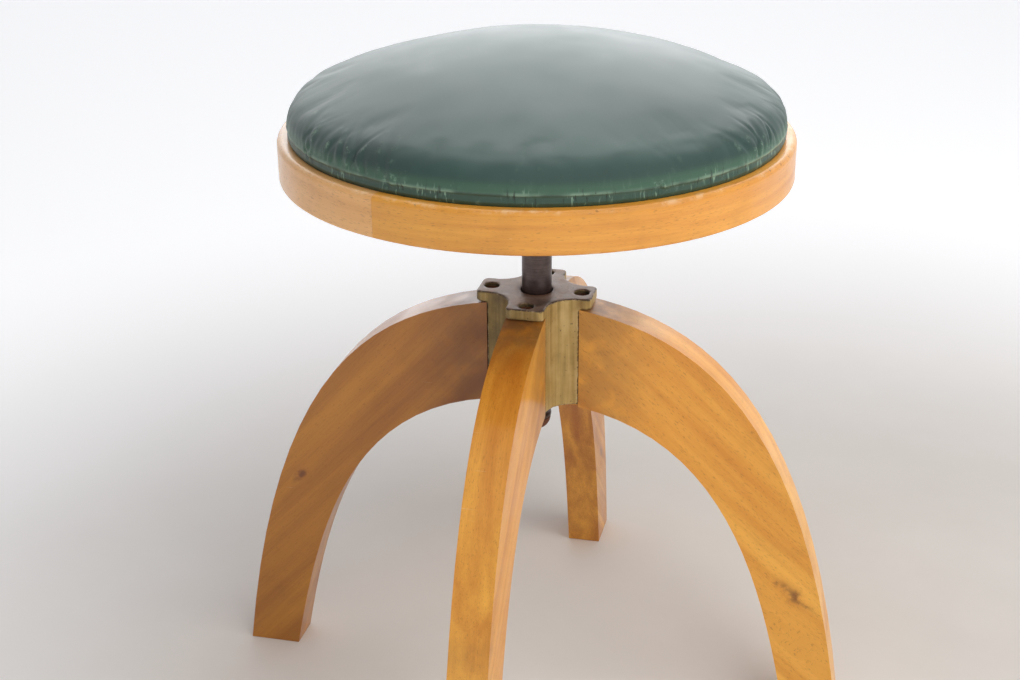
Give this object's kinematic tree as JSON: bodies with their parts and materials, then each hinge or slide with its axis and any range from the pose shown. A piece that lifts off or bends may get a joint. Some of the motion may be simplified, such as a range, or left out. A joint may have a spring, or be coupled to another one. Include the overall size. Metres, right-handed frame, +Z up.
{
  "type": "swivel stool",
  "caption": "Adjustable swivel stool: domed leather seat in a wooden ring, on a screw spindle in a cast hub with bent wooden legs.",
  "frame": {"origin": "on the floor, on the spindle's axis", "axes": "+Z up along the spindle; the legs point along +X, +Y, -X and -Y"},
  "size_m": [0.477, 0.477, 0.5104],
  "materials": {
    "gilt_iron": "worn gold paint over cast iron",
    "leg_beech": "lacquered beech",
    "ring_beech": "lacquered beech",
    "ring_beech_pale": "lacquered beech, paler board",
    "plywood": "bare plywood",
    "dark_steel": "dark oiled steel",
    "rusty_steel": "rusty steel",
    "bright_steel": "dull steel",
    "flange_iron": "black cast iron",
    "green_leather": "dark green leather, polished by use",
    "wadding": "cotton wadding over hair"
  },
  "bodies": {
    "stand": {"hub": "gilt_iron", "leg_front": "leg_beech", "leg_right": "leg_beech", "leg_back": "leg_beech", "leg_left": "leg_beech", "leg_screws": "rusty_steel"},
    "lift": {"spindle_plug": "rusty_steel"},
    "seat": {"spindle": "dark_steel", "seat_flange": "flange_iron", "flange_pin": "bright_steel", "flange_screws": "bright_steel", "seat_board": "plywood", "ring_half_left": "ring_beech_pale", "ring_half_right": "ring_beech", "ring_screws": "bright_steel", "pad_board": "plywood", "pad_screws": "bright_steel", "stuffing": "wadding", "cover": "green_leather", "cover_tacks": "dark_steel"}
  },
  "joints": [
    {"name": "seat_lift", "type": "slide", "parent": "stand", "child": "lift", "axis": [0, 0, 1], "range_m": [-0.01201, 0.05401]},
    {"name": "seat_turn", "type": "hinge", "parent": "lift", "child": "seat", "pos_m": [0, 0, 0.224], "axis": [0, 0, 1], "range_deg": [-720, 3240]}
  ],
  "couplings": [
    {"joint": "seat_lift", "follows": "seat_turn", "m_per_rad": 0.00095493}
  ]
}
